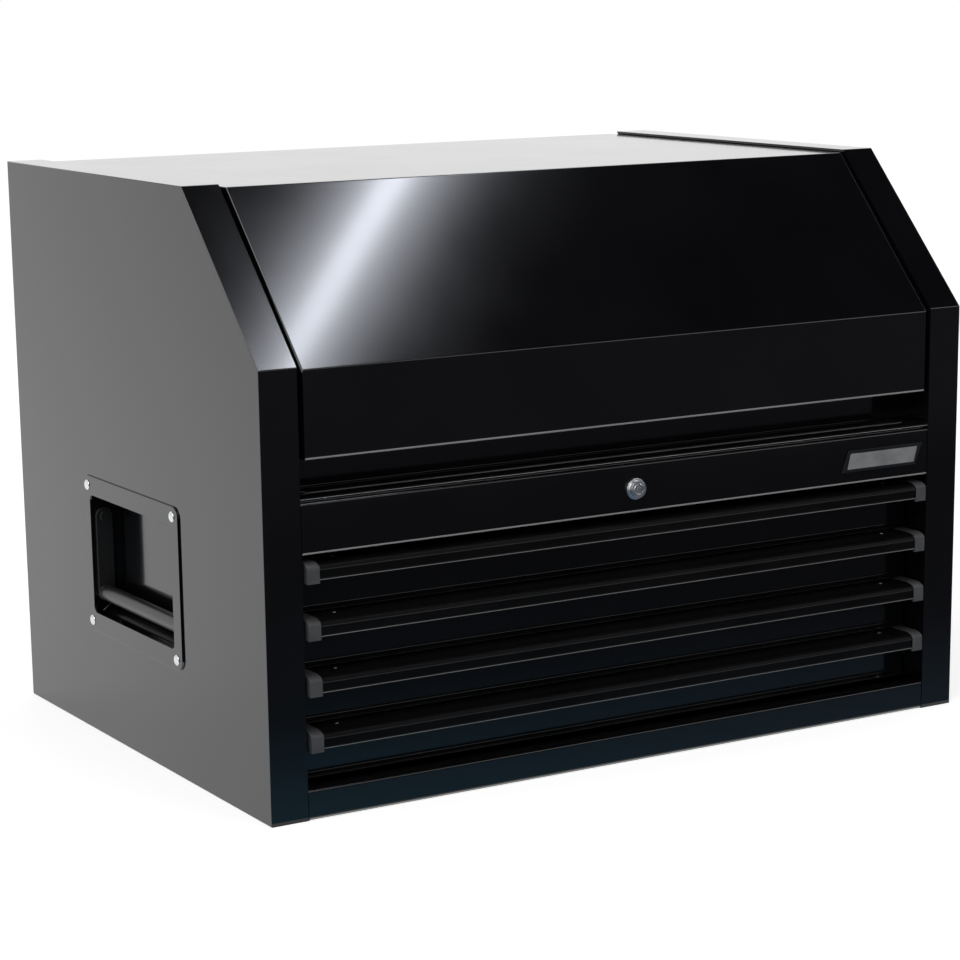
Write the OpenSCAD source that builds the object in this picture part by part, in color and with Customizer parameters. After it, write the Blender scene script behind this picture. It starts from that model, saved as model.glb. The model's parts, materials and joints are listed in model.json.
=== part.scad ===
// Machinist tool chest: sloped lid over a till, four drawers, folded sheet steel
// Origin: middle of the base on the floor. X to the right, Y to the back, Z up.
// The modules measure Y back from the front face; seated() moves them to the origin.

/* [Body] */
// Width over the two side panels
body_w = 680; // [620:10:760]
// Depth from the front face to the back panel
body_d = 489; // [480:1:540]
// Height of the flat top of the sides
body_h = 487; // [480:1:500]
// Height of the knee where the slope begins
knee_h = 357; // [352:1:364]
// How far back the slope ends
slope_d = 126; // [118:1:136]
// Thickness of the steel sheet
sheet = 1.2; // [1:0.1:1.4]
// Inner radius of the sheet's bends
bend_r = 1; // [0.6:0.1:1.4]
// Width of the front columns and of the top's side flanges
column_w = 32.5; // [31:0.5:34]
// Depth of the columns' inner return
column_depth = 39; // [37:0.5:41]
// Depth of the return along the slope and the top
edge_return = 10; // [6:1:12]
// Width of the flange behind the side panels' rear edge
rear_flange_w = 16; // [12:1:18]
// Height of the bottom rail's face
rail_h = 24.4; // [20:0.2:25]
// Depth of the bottom rail's upper fold
rail_depth = 18; // [12:1:22]
// Gap between the rails and the columns
rail_gap = 0.6; // [0.3:0.1:0.8]
// Gap between the back panel's top and the hinge's barrel
back_drop = 0.4; // [0.3:0.1:0.6]

/* [Lock rail and till] */
// Height of the lock rail's face
lock_rail_h = 40.7; // [38:0.1:44]
// Depth of the lock rail's upper fold
lock_rail_depth = 26; // [20:1:30]
// Gap between the top drawer's pitch line and the lock rail
lock_rail_gap = 5.3; // [4:0.1:8]
// Slot between the lock rail and the ledge
ledge_slot = 2.6; // [2:0.1:3.4]
// How far the ledge's apron is set back
apron_back = 6; // [4:0.5:8]
// How far the ledge's edge is behind the front face
ledge_back = 0.6; // [0.2:0.1:1.5]
// Gap between the till's walls and the lid's slope, at the front
till_clear = 9.3; // [8:0.1:12]
// Forward flange at the foot of the till front
till_foot = 20; // [14:1:24]
// Cut at each end of that flange
till_foot_cut = 14; // [8:1:18]
// Hem along the top of the till's walls
till_hem = 9; // [6:0.5:9]
// Thickness of the mats
mat_t = 1.6; // [1:0.1:2]
// Gap around the mats
mat_gap = 1.5; // [1:0.5:4]

/* [Lid] */
// Gap between the lid and the columns
lid_gap = 5; // [4:0.5:8]
// How far the lid's top lies under the sides' top
lid_sink = 2.4; // [1.5:0.1:3]
// How far the lid's knee lies under the sides' knee
lid_knee_drop = 2; // [1:0.5:3]
// How much sooner the lid's slope ends
lid_slope_lead = 3; // [2:0.5:4]
// Height of the lid's front flap
flap_h = 69.5; // [60:0.5:74]
// Depth of the flap's lower hem
flap_hem = 14; // [8:1:18]
// Depth of the lid's side flanges
lid_flange = 15; // [14.5:0.5:18]
// How far the lid reaches over the back
lid_overhang = 4.5; // [4:0.5:6]
// Distance along the slope from the lid's catch to the stiffener
stiffener_gap = 20; // [18:0.5:26]
// Width of the stiffener's crown
stiffener_w = 25; // [20:1:28]
// Depth of the stiffener
stiffener_depth = 12; // [8:1:14]
// Distance of the rubber bumpers from the middle
bumper_x = 200; // [120:5:240]
// Radius of a rubber bumper
bumper_r = 4; // [3:0.5:4]

/* [Hinge] */
// Length of the piano hinge
hinge_len = 600; // [540:10:600]
// Number of knuckles, shared by the two leaves
knuckles = 24; // [12:2:30]
// Outer radius of the knuckles
knuckle_r = 2.5; // [2.2:0.1:2.8]
// Radius of the hinge pin
hinge_pin_r = 1.5; // [1.2:0.1:1.6]
// Width of each leaf
leaf_w = 34; // [24:1:40]

/* [Drawers] */
// Height from one drawer to the next
drawer_pitch = 44.9; // [44.5:0.1:46]
// Height of the lowest face's lower edge
first_face_z = 27; // [26:0.2:30]
// How far the faces are behind the front face
face_back = 27; // [25:0.5:28]
// Height of a face
face_h = 42.2; // [41.6:0.1:42.6]
// Gap between a face and a column
face_gap = 1.5; // [1:0.1:2]
// Depth of the face's folded edges
face_fold = 10; // [6:0.5:11]
// Height of the face's kicked lower edge
kick_h = 3.7; // [2.5:0.1:4]
// How far the kick reaches forward
kick_out = 2.5; // [1:0.1:3]
// Thickness of the trays' sheet
tray_t = 1; // [0.8:0.1:1.2]
// Height of a tray's walls
tray_h = 37; // [36:0.5:37.5]
// Height of the tray over the face's lower edge
tray_lift = 4; // [3:0.5:4]
// Clear space between the trays and the back panel
tray_rear_space = 39; // [36:1:50]
// Width of the trays' inward hem
tray_hem = 5; // [3:0.5:8]

/* [Pulls] */
// Height of a pull's lower edge over the face's lower edge
pull_z = 30.3; // [28:0.1:32]
// Height of the pull's flat front
pull_lip_h = 9; // [8:0.1:9.5]
// Rise of the rounded shoulder
shoulder_rise = 4; // [2:0.1:4.2]
// Depth of the rounded shoulder
shoulder_depth = 10; // [6:0.5:12]
// How far the pull reaches in front of the front face
pull_out = 2; // [0:0.5:4]
// Wall of the pull
pull_t = 1.8; // [1.2:0.1:2.2]
// Height of the flange that fastens the pull to the face
pull_foot_h = 11; // [8:0.5:12]
// Gap between the pull's ends and the face's ends
pull_end_gap = 1.5; // [0.5:0.5:4]
// Radius of the two beads along the lip
bead_r = 0.6; // [0.4:0.1:0.8]
// Width of an end cap
cap_w = 11; // [8:0.5:14]
// Skin of an end cap over the pull
cap_t = 0.7; // [0.5:0.1:0.8]
// End plate of a cap
cap_end_t = 1.6; // [1:0.1:2.4]
// How far a cap reaches below the pull
cap_drop = 2.8; // [1:0.1:4]

/* [Slides] */
// Distance from the side's outer face to the uprights that carry the slides
upright_in = 42.5; // [42:0.5:43]
// Distance from the slides' rear ends to the back face
slide_rear_space = 47.5; // [47.5:0.5:147.5]
// How much shorter the middle members are
slide_mid_short = 20; // [10:1:40]
// Height of the slides
slide_h = 34; // [30:0.5:35]
// Width of a closed slide
slide_w = 12.7; // [11:0.1:13.5]
// Running gap between the members
slide_gap = 0.4; // [0.3:0.05:0.6]

/* [Lock] */
// Height of the lock over the lock rail's lower edge
lock_up = 19.9; // [19:0.1:21]
// Radius of the lock's base ring
lock_base_r = 8.85; // [8.6:0.05:10]
// Radius of the lock's front ring
lock_ring_r = 7.15; // [6:0.05:8]
// Radius of the threaded housing
housing_r = 8; // [7:0.1:8.5]
// Radius of the plug
plug_r = 4.9; // [4:0.1:5.2]
// How far the plug stands out
plug_out = 6.2; // [5:0.1:8]
// Distance from the lock rod's end to the back face
lock_rod_space = 29; // [29:0.5:32]
// Radius of the lock rod
lock_rod_r = 4; // [3:0.1:4]
// Radius of the cranks
crank_r = 12; // [11:0.5:12]
// Radius of the crank pins
crank_pin_r = 2; // [1.5:0.1:2.2]
// Running gap of pins in their bores
run_gap = 0.05; // [0.02:0.01:0.1]
// Loose gap of crank pins in their slots
slot_gap = 0.65; // [0.6:0.05:0.8]

/* [Badge] */
// Width of the slanted plate
badge_w = 87.4; // [40:0.2:100]
// Height of the slanted plate
badge_h = 18.6; // [10:0.1:24]
// Slant of the plate
badge_slant = 7.4; // [0:0.1:10]
// Distance from the column to the plate
badge_gap = 7.5; // [4:0.5:20]
// Thickness of the plate
badge_t = 1.4; // [0.8:0.1:2]

/* [Side handles] */
// Distance of the handle's middle from the front face
handle_y = 248.5; // [235:0.5:265]
// Height of the pocket's lower edge
pocket_z = 108.5; // [105:0.5:115]
// Width of the pocket
pocket_w = 164; // [130:1:170]
// Height of the pocket
pocket_h = 103.4; // [98:0.2:108]
// Depth of the pocket
pocket_depth = 22.5; // [22:0.5:34]
// Rise of the pocket's floor towards the back
pocket_rise = 12; // [8:0.5:16]
// Drop of the pocket's ceiling towards the back
pocket_fall = 2; // [1:0.5:6]
// Depth of the pocket's straight mouth
mouth_depth = 6; // [5:0.5:8]
// Radius of the pocket's bends and corners
pocket_r = 5; // [3:0.5:6]
// Width of the flange beside the pocket
dish_flange_y = 14.5; // [14:0.5:20]
// Width of the flange above and below the pocket
dish_flange_z = 16.4; // [15:0.2:20]
// Thickness of the dish's flange
dish_t = 1.6; // [1.2:0.1:2]
// Corner radius of the dish's flange
dish_corner_r = 10; // [6:0.5:10]
// Distance from the rivets to the flange's side edges
rivet_in_y = 10.2; // [7.8:0.2:10.4]
// Distance from the rivets to the flange's upper and lower edges
rivet_in_z = 8.4; // [7.8:0.2:10]
// Radius of a rivet's head
rivet_head_r = 4.6; // [4:0.1:5]
// Height of a rivet's head
rivet_head_h = 2; // [1.4:0.1:2.4]
// Radius of a rivet's shank
rivet_r = 2.4; // [2:0.1:2.6]
// Distance of the bail's pivot from the outer face
bail_in = 9.6; // [9.4:0.1:13]
// Height of the bail's pivot over the pocket's lower edge
bail_pivot_up = 84; // [80:0.5:88]
// Distance from the bail's pivot to its grip
bail_drop = 67.5; // [64:0.5:70]
// Radius of the bail's grip
grip_r = 7; // [6:0.1:7.4]
// Width of the bail's arms
arm_w = 15; // [13:0.5:16]
// Thickness of the bail's arms
arm_t = 3; // [2:0.1:4]
// Gap between the arms and the pocket's ends
arm_gap = 0.4; // [0.3:0.1:1]
// Radius of the bail's pivot pins
bail_pin_r = 3; // [2.5:0.1:3.5]

/* [Gas struts] */
// Distance from the back face to the lower stud
strut_foot_back = 37; // [34:1:40]
// Distance of the lower stud below the knee
strut_foot_drop = 51; // [45:1:60]
// Distance from the back face to the upper stud
strut_head_back = 99; // [92:1:104]
// Radius of the strut's cylinder
strut_r = 7.5; // [6:0.1:8]
// Radius of the strut's rod
strut_rod_r = 4; // [3:0.1:4]
// Length of rod between the cylinder's end and the upper stud, with the lid closed
strut_rod_out = 29.4; // [28:0.1:50]
// Radius of the struts' end eyes
strut_eye_r = 6.5; // [6:0.1:7]
// Width of the struts' end eyes
strut_eye_w = 9; // [8.4:0.1:10]
// Radius of the studs
stud_r = 4; // [3:0.1:4.2]

/* [Hidden] */
$fn = 48;
bend_steps = 5;
drawer_count = 4;
paint = [0.05, 0.05, 0.055];
zinc = [0.62, 0.63, 0.65];
chrome = [0.8, 0.8, 0.82];
rubber = [0.07, 0.07, 0.07];
cap_grey = [0.2, 0.2, 0.21];

half_w = body_w / 2;
inner_w = half_w - sheet;
column_x = half_w - column_w;
inner_rear = body_d - sheet;
slope_k = (body_h - knee_h) / slope_d;
slope_a = atan(slope_k);

lock_rail_z = first_face_z + drawer_count * drawer_pitch + lock_rail_gap;
lock_rail_top = lock_rail_z + lock_rail_h;
floor_under = lock_rail_top + ledge_slot;
floor_top = floor_under + sheet;
rail_x = column_x - rail_gap;

upright_x = half_w - upright_in;
tray_rear = body_d - tray_rear_space;

lid_x = column_x - lid_gap;
lid_top = body_h - lid_sink;
lid_knee = knee_h - lid_knee_drop;
lid_slope_d = slope_d - lid_slope_lead;
flap_z = lid_knee - flap_h;
lid_k = (lid_top - lid_knee) / lid_slope_d;
lid_a = atan(lid_k);
lid_slope_len = lid_slope_d / cos(lid_a);
lid_flange_rear = body_d - 21;
till_top = lid_under(column_depth) - till_clear;

lid_path = [
    [body_d + lid_overhang, lid_top], [lid_slope_d, lid_top], [0, lid_knee],
    [0, flap_z], [flap_hem, flap_z]
];

hinge_y = body_d + lid_overhang - knuckle_r;
hinge_z = lid_top - sheet - knuckle_r;
knuckle_len = hinge_len / knuckles;
knuckle_gap = 0.3;

slide_y = column_depth + 2.5;
slide_len = body_d - slide_rear_space - slide_y;
slide_mid_len = slide_len - slide_mid_short;
mid_half_h = slide_h / 2 - sheet - slide_gap;
inner_half_h = mid_half_h - sheet - slide_gap;
slide_mid_z = tray_lift + tray_h / 2;

lip_top = pull_z + pull_lip_h;
pull_top = lip_top + shoulder_rise;
pull_front = shoulder(-pull_out, lip_top, shoulder_depth, shoulder_rise);
pull_inner = shoulder(pull_t - pull_out, lip_top, shoulder_depth - pull_t, shoulder_rise - pull_t);

lock_z = lock_rail_z + lock_up;
rod_front = 22;
rod_rear = body_d - lock_rod_space;
latch_y = column_depth + 11;
latch_t = 2;
bar_y = rod_rear + 2;
bar_t = 2;
crank_t = 3;
crank_x = crank_r * sin(45);
lock_travel = 2 * crank_x;
slot_r = crank_pin_r + slot_gap;

bar_x0 = -crank_r - slot_r - 1.5;
bar_x1 = 6;
guide_gap = 0.3;
guide_wall = 1.5;
guide_h = 8;
hook_x = 12;
hook_bottom = 18;
hook_notch_top = 34;
hook_top = 38;
hook_gap = 1.5;
finger_z0 = hook_bottom - 8;
finger_z1 = hook_bottom - 2;

latch_stud_x = -3;
latch_stud_r = 2.5;
latch_stud_z = [floor_top + 29, till_top - 40];
latch_z0 = lock_z + lock_rod_r + 0.6;
latch_z1 = till_top - 10;
latch_finger_z = latch_z1 - 14;
finger_h = 5;
finger_gap = 0.8;
catch_x = 22;
catch_y0 = column_depth + 10;
catch_y1 = column_depth + 23;

strut_x = upright_x - 9.5;
strut_foot = [body_d - strut_foot_back, knee_h - strut_foot_drop];
strut_head = [body_d - strut_head_back, lid_top - 10.2];
strut_line = strut_head - strut_foot;
strut_len = norm(strut_line);
strut_cyl_len = strut_len - strut_rod_out;
strut_a = atan2(strut_line[1], strut_line[0]);

dish_y0 = handle_y - pocket_w / 2;
dish_y1 = handle_y + pocket_w / 2;
dish_z1 = pocket_z + pocket_h;
dish_cz = pocket_z + pocket_h / 2;
dish_w = pocket_w + 2 * dish_flange_y;
dish_h = pocket_h + 2 * dish_flange_z;
pocket_path = [
    [0, dish_z1], [mouth_depth, dish_z1], [pocket_depth, dish_z1 - pocket_fall],
    [pocket_depth, pocket_z + pocket_rise], [mouth_depth, pocket_z], [0, pocket_z]
];
bail_z = pocket_z + bail_pivot_up;

// ---------------------------------------------------------------- helpers

// Lower edge of drawer k's face; drawer 1 is the top one
function face_z(k) = first_face_z + (drawer_count - k) * drawer_pitch;

// Height of the lid's inner face at y on the slope
function lid_under(y) = lid_knee + lid_k * y - sheet / cos(lid_a);

// Height of the lower edge of the lid's side flanges at y on the slope
function lid_flange_under(y) = lid_knee + lid_k * y - lid_flange / cos(lid_a);

// Sheet bent along a path. The path is the reference face and the sheet lies to its left.
function unit(a, b) = (b - a) / norm(b - a);
function left_of(u) = [-u[1], u[0]];
function turn(u, v) = atan2(u[0] * v[1] - u[1] * v[0], u * v);
function swing(n, a) = [n[0] * cos(a) - n[1] * sin(a), n[0] * sin(a) + n[1] * cos(a)];
function bend(p, u, v, r_ref, r_arc) =
    let (a = turn(u, v), s = sign(a))
    let (c = p - u * r_ref * tan(abs(a) / 2) + left_of(u) * s * r_ref)
    [for (k = [0 : bend_steps]) c - swing(left_of(u), a * k / bend_steps) * s * r_arc];
function bent(p, u, v, t, r, far) =
    let (s = sign(turn(u, v)))
    let (r_ref = s > 0 ? r + t : r, r_far = s > 0 ? r : r + t)
    bend(p, u, v, r_ref, far ? r_far : r_ref);
function fold_line(path, t, r, far) =
    let (n = len(path) - 1, u0 = unit(path[0], path[1]), un = unit(path[n - 1], path[n]))
    concat(
        [path[0] + (far ? left_of(u0) * t : [0, 0])],
        n < 2 ? [] : [for (i = [1 : n - 1])
            each bent(path[i], unit(path[i - 1], path[i]), unit(path[i], path[i + 1]), t, r, far)],
        [path[n] + (far ? left_of(un) * t : [0, 0])]
    );
function backwards(list) = [for (i = [len(list) - 1 : -1 : 0]) list[i]];
function folded_points(path, t, r) =
    concat(fold_line(path, t, r, false), backwards(fold_line(path, t, r, true)));
module folded(path, t = sheet, r = bend_r) polygon(folded_points(path, t, r));

// A profile drawn in (y, z) run along x
module along_x(x0, x1) translate([x0, 0, 0]) rotate([90, 0, 90]) linear_extrude(x1 - x0) children();

// A profile drawn in (x, z) run along y
module along_y(y0, y1) translate([0, y1, 0]) rotate([90, 0, 0]) linear_extrude(y1 - y0) children();

// A profile drawn in (x, y) run along z
module along_z(z0, z1) translate([0, 0, z0]) linear_extrude(z1 - z0) children();

module slab(x, y, z) translate([x[0], y[0], z[0]]) cube([x[1] - x[0], y[1] - y[0], z[1] - z[0]]);
module rod_x(r, x0, x1) translate([x0, 0, 0]) rotate([0, 90, 0]) cylinder(r = r, h = x1 - x0);
module rod_y(r, y0, y1) translate([0, y0, 0]) rotate([-90, 0, 0]) cylinder(r = r, h = y1 - y0);
module both_sides() {
    children();
    mirror([1, 0, 0]) children();
}
module seated() translate([0, -body_d / 2, 0]) children();

// ---------------------------------------------------------------- carcass

// One side: outer sheet, front column, slope and top flanges with their inner return
module side_panel() {
    return_drop = edge_return / cos(slope_a);
    outline = [[0, 0], [body_d, 0], [body_d, body_h], [slope_d, body_h], [0, knee_h]];
    inner_edge = [
        [0, sheet], [0, knee_h], [slope_d, body_h], [inner_rear, body_h],
        [inner_rear, body_h - edge_return],
        [(body_h - edge_return - knee_h + return_drop) / slope_k, body_h - edge_return],
        [column_depth, knee_h - return_drop + slope_k * column_depth],
        [column_depth, sheet]
    ];
    color(paint) seated() difference() {
        union() {
            along_x(inner_w, half_w) polygon(outline);
            along_x(column_x, half_w)
                folded([[body_d, body_h], [slope_d, body_h], [0, knee_h], [0, 0]]);
            intersection() {
                along_x(column_x, column_x + sheet) polygon(inner_edge);
                along_x(column_x, half_w) polygon(concat(
                    fold_line([[body_d, body_h], [slope_d, body_h], [0, knee_h], [0, 0]],
                        sheet, bend_r, false), [[body_d, 0]]));
            }
            slab([half_w - rear_flange_w, inner_w], [inner_rear - sheet, inner_rear],
                [sheet, body_h - sheet]);
        }
        translate([0, dish_y0 - sheet - 0.3, pocket_z - sheet - 0.3])
            cube([body_w, pocket_w + 2 * sheet + 0.6, pocket_h + 2 * sheet + 0.6]);
        rivet_places() rod_x(rivet_r, inner_w - 1, half_w + 1);
    }
}
module right_side_panel() side_panel();
module left_side_panel() mirror([1, 0, 0]) side_panel();

// Back sheet with the two guides that hold the drawer lock bar
module back_panel() {
    color(paint) seated() {
        slab([-inner_w, inner_w], [inner_rear, body_d], [0, hinge_z - knuckle_r - back_drop]);
        for (k = [1, drawer_count])
            translate([0, 0, face_z(k) + hook_top - 2]) lock_bar_guide();
    }
}

// A hollow block round the bar, open upwards and downwards, on two cheeks from the back
module lock_bar_guide() {
    x0 = bar_x0 - guide_gap;
    x1 = bar_x1 + guide_gap;
    y0 = bar_y - guide_gap;
    y1 = bar_y + bar_t + guide_gap;
    difference() {
        slab([x0 - guide_wall, x1 + guide_wall], [y0 - guide_wall, inner_rear], [0, guide_h]);
        slab([x0, x1], [y0, y1], [-1, guide_h + 1]);
        slab([x0, x1], [y1 + guide_wall, inner_rear + 1], [-1, guide_h + 1]);
    }
}

// Bottom sheet; its front is folded up into the bottom rail
module bottom_panel() {
    color(paint) seated() {
        along_x(-rail_x, rail_x) folded([
            [rail_depth, rail_h - 7], [rail_depth, rail_h], [0, rail_h], [0, 0], [inner_rear, 0]
        ]);
        both_sides() slab([rail_x, inner_w], [sheet, inner_rear], [0, sheet]);
    }
}

// Channel that carries the lock
module lock_rail() {
    color(paint) seated() difference() {
        along_x(-rail_x, rail_x) folded([
            [lock_rail_depth, lock_rail_top], [0, lock_rail_top], [0, lock_rail_z],
            [rail_depth, lock_rail_z]
        ]);
        translate([0, 0, lock_z]) rod_y(housing_r + run_gap, -1, 3);
    }
}

// Floor of the till; its front is the ledge over the lock rail
module till_floor() {
    hanger_y = tray_rear - 10;
    color(paint) seated() {
        difference() {
            union() {
                slab([-column_x, column_x], [ledge_back, column_depth], [floor_under, floor_top]);
                slab([-upright_x, upright_x], [column_depth, inner_rear], [floor_under, floor_top]);
            }
            slab([-crank_r - 6, crank_r + 6], [latch_y - 1, latch_y + latch_t + 1],
                [floor_under - 1, floor_top + 1]);
        }
        slab([-column_x, column_x], [apron_back, apron_back + sheet], [lock_rail_top, floor_under]);
        slab([-upright_x, upright_x], [inner_rear - sheet, inner_rear], [floor_top, floor_top + 10]);
        // Tab that carries the lock rod near the back
        difference() {
            slab([-12, 12], [hanger_y, hanger_y + 2 * sheet], [lock_z - 9, floor_under]);
            translate([0, 0, lock_z]) rod_y(lock_rod_r + run_gap, hanger_y - 1, hanger_y + 4);
        }
    }
}

// Panel behind the lid's flap, with a forward foot and a hem
module till_front() {
    foot_y = column_depth - till_foot;
    foot_top = floor_top + sheet;
    color(paint) seated() {
        difference() {
            along_x(-column_x, column_x) folded([
                [column_depth + till_hem, till_top], [column_depth, till_top],
                [column_depth, foot_top], [foot_y, foot_top]
            ]);
            both_sides() along_z(floor_top - 1, foot_top + 1) polygon([
                [column_x + 1, foot_y - 1], [column_x - till_foot_cut, foot_y - 1],
                [column_x - till_foot_cut, foot_y], [column_x, column_depth - bend_r - sheet],
                [column_x + 1, column_depth - bend_r - sheet]
            ]);
            both_sides() slab([lid_x - sheet - 2, column_x + 1],
                [column_depth - 1, column_depth + till_hem + 1],
                [lid_flange_under(column_depth) - 2, till_top + 1]);
            both_sides() slab([upright_x, column_x + 1],
                [column_depth + sheet, column_depth + till_hem + 1],
                [till_top - sheet - bend_r, till_top + 1]);
            slab([catch_x - 4, catch_x + 6], [column_depth + sheet, column_depth + till_hem + 1],
                [till_top - 3, till_top + 1]);
        }
        for (z = latch_stud_z) translate([latch_stud_x, 0, z]) {
            rod_y(latch_stud_r, column_depth + sheet, latch_y + latch_t + 0.2);
            rod_y(latch_stud_r + 2, latch_y + latch_t + 0.2, latch_y + latch_t + 1.4);
            rod_y(latch_stud_r + 2, column_depth + sheet, latch_y - 0.2);
        }
    }
}

// Mat on the till's floor, behind the latch
module till_mat() {
    color(rubber) seated() slab([mat_gap - upright_x, upright_x - mat_gap],
        [latch_y + latch_t + 10, inner_rear - sheet - mat_gap], [floor_top, floor_top + mat_t]);
}

// Channel that carries the slides and, above the floor, is the till's side wall
module slide_upright() {
    wall_x = upright_x + sheet;
    color(paint) seated() {
        along_z(sheet, floor_under) folded([
            [wall_x + 11, inner_rear], [upright_x, inner_rear],
            [upright_x, column_depth], [column_x + sheet, column_depth]
        ]);
        slab([upright_x, wall_x], [column_depth + sheet, inner_rear - sheet], [floor_under, till_top]);
        slab([upright_x, upright_x + till_hem], [column_depth + lid_flange + 2, inner_rear - sheet],
            [till_top - sheet, till_top]);
        translate([0, strut_foot[0], strut_foot[1]])
            rod_x(stud_r, strut_x - strut_eye_w / 2 - 0.5, upright_x);
    }
}
module right_slide_upright() slide_upright();
module left_slide_upright() mirror([1, 0, 0]) slide_upright();

// ---------------------------------------------------------------- slides

// One telescoping channel: its web starts at u_web from the upright and its flanges end at u_lip
module slide_member(u_web, u_lip, half_h, y0, len, t = sheet) {
    x_web = upright_x - u_web;
    x_lip = upright_x - u_lip;
    in = u_lip > u_web ? -t : t;
    slab([min(x_web, x_web + in), max(x_web, x_web + in)], [y0, y0 + len], [-half_h, half_h]);
    for (s = [-half_h, half_h - t])
        slab([min(x_web, x_lip), max(x_web, x_lip)], [y0, y0 + len], [s, s + t]);
}

module slide_outer_members() {
    color(zinc) seated() both_sides() for (k = [1 : drawer_count])
        translate([0, 0, face_z(k) + slide_mid_z])
            slide_member(0, slide_w - 3.7, slide_h / 2, slide_y, slide_len);
}
module slide_middle(k) {
    color(zinc) seated() both_sides() translate([0, 0, face_z(k) + slide_mid_z])
        slide_member(sheet + 0.8, slide_w - 1.7, mid_half_h, slide_y + 2, slide_mid_len);
}
module slide_inner(k) {
    color(zinc) seated() both_sides() translate([0, 0, face_z(k) + slide_mid_z])
        slide_member(slide_w, slide_w - 7.7, inner_half_h, slide_y, slide_len);
}

// ---------------------------------------------------------------- drawers

// Tray with its face, and the hook on its back that the lock bar traps
module drawer(k) {
    face_x = column_x - face_gap;
    side_x = upright_x - slide_w;
    tray_z = tray_lift + tray_h;
    front = face_back + sheet;
    color(paint) seated() translate([0, 0, face_z(k)]) {
        along_x(-face_x, face_x) folded([
            [face_back + face_fold, face_h], [face_back, face_h],
            [face_back, kick_h], [face_back - kick_out, 0]
        ]);
        both_sides() slab([face_x - sheet, face_x], [front, face_back + face_fold],
            [kick_h + 1, face_h - sheet]);
        difference() {
            slab([-side_x, side_x], [front, tray_rear], [tray_lift, tray_z]);
            slab([tray_t - side_x, side_x - tray_t], [front + tray_t, tray_rear - tray_t],
                [tray_lift + tray_t, tray_z - tray_t]);
            slab([tray_hem - side_x, side_x - tray_hem], [front + tray_t, tray_rear - tray_hem],
                [tray_z - 2 * tray_t, tray_z + 1]);
        }
        along_x(hook_x, hook_x + 2) polygon([
            [tray_rear - tray_t / 2, hook_bottom], [bar_y - hook_gap, hook_bottom],
            [bar_y - hook_gap, hook_notch_top], [bar_y + bar_t + hook_gap, hook_notch_top],
            [bar_y + bar_t + hook_gap, hook_bottom], [bar_y + bar_t + 8, hook_bottom],
            [bar_y + bar_t + 8, hook_top], [tray_rear - tray_t / 2, hook_top]
        ]);
    }
}

// Quarter-ellipse shoulder from the lip's front to the flat top
function shoulder(y, z, depth, rise) =
    [for (a = [0 : 15 : 90]) [y + depth * (1 - cos(a)), z + rise * sin(a)]];

// Extruded full-width pull, fastened to the face by its rear flange
module pull(k) {
    x = column_x - face_gap - pull_end_gap - cap_end_t;
    color(paint) seated() translate([0, 0, face_z(k)]) {
        along_x(-x, x) polygon(concat(
            [[-pull_out, pull_z]], pull_front, [[face_back, pull_top],
            [face_back, pull_top - pull_foot_h], [face_back - pull_t, pull_top - pull_foot_h],
            [face_back - pull_t, pull_top - pull_t]], backwards(pull_inner),
            [[pull_t - pull_out, pull_z]]
        ));
        for (z = [pull_z + bead_r, lip_top - bead_r])
            translate([0, bead_r * 0.4 - pull_out, z]) rod_x(bead_r, -x, x);
    }
}

// Moulded cap on each end of the pull: a skin over its front and a plate over its end
module pull_caps(k) {
    end = column_x - face_gap - pull_end_gap;
    cap_front = shoulder(-pull_out - cap_t, lip_top, shoulder_depth + cap_t, shoulder_rise + cap_t);
    bottom = pull_z - cap_drop;
    color(cap_grey) seated() translate([0, 0, face_z(k)]) both_sides() {
        difference() {
            along_x(end - cap_w, end - cap_end_t) polygon(concat(
                [[-pull_out - cap_t, bottom]], cap_front, [[face_back, pull_top + cap_t],
                [face_back, pull_top]], backwards(pull_front),
                [[-pull_out, pull_z], [pull_t - pull_out, pull_z], [pull_t - pull_out, bottom]]
            ));
            for (z = [pull_z + bead_r, lip_top - bead_r])
                translate([0, bead_r * 0.4 - pull_out, z]) rod_x(bead_r, 0, end);
        }
        along_x(end - cap_end_t, end) polygon(concat(
            [[-pull_out - cap_t, bottom]], cap_front,
            [[face_back, pull_top + cap_t], [face_back, pull_z], [pull_t - pull_out, bottom]]
        ));
    }
}

module drawer_mat(k) {
    side_x = upright_x - slide_w - tray_t - mat_gap;
    floor_z = tray_lift + tray_t;
    color(rubber) seated() translate([0, 0, face_z(k)]) slab([-side_x, side_x],
        [face_back + sheet + tray_t + mat_gap, tray_rear - tray_t - mat_gap],
        [floor_z, floor_z + mat_t]);
}

// ---------------------------------------------------------------- lid

// Top, slope and front flap folded from one sheet, with a flange down each side
module lid_shell() {
    flange_z = lid_top - lid_flange;
    flange = [
        [sheet, flap_z + sheet], [sheet, lid_knee - sheet], [lid_slope_d, lid_top - sheet],
        [lid_flange_rear, lid_top - sheet], [lid_flange_rear, flange_z],
        [(flange_z - lid_flange_under(0)) / lid_k, flange_z],
        [lid_flange, lid_flange_under(lid_flange)], [lid_flange, flap_z + sheet]
    ];
    color(paint) seated() {
        along_x(-lid_x, lid_x) folded(lid_path);
        both_sides() along_x(lid_x - sheet, lid_x) polygon(flange);
    }
}

// Things fastened under the slope are drawn with x along the slope from the knee
module under_slope() translate([0, lid_knee]) rotate(lid_a) children();

// Hat-shaped channel across the inside of the slope
module lid_stiffener() {
    s0 = catch_y1 / cos(lid_a) + stiffener_gap;
    s1 = s0 + stiffener_w;
    color(paint) seated() along_x(17 - lid_x, lid_x - 17) under_slope() folded([
        [s1 + 12, -sheet], [s1, -sheet], [s1, -sheet - stiffener_depth],
        [s0, -sheet - stiffener_depth], [s0, -sheet], [s0 - 12, -sheet]
    ]);
}

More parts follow.
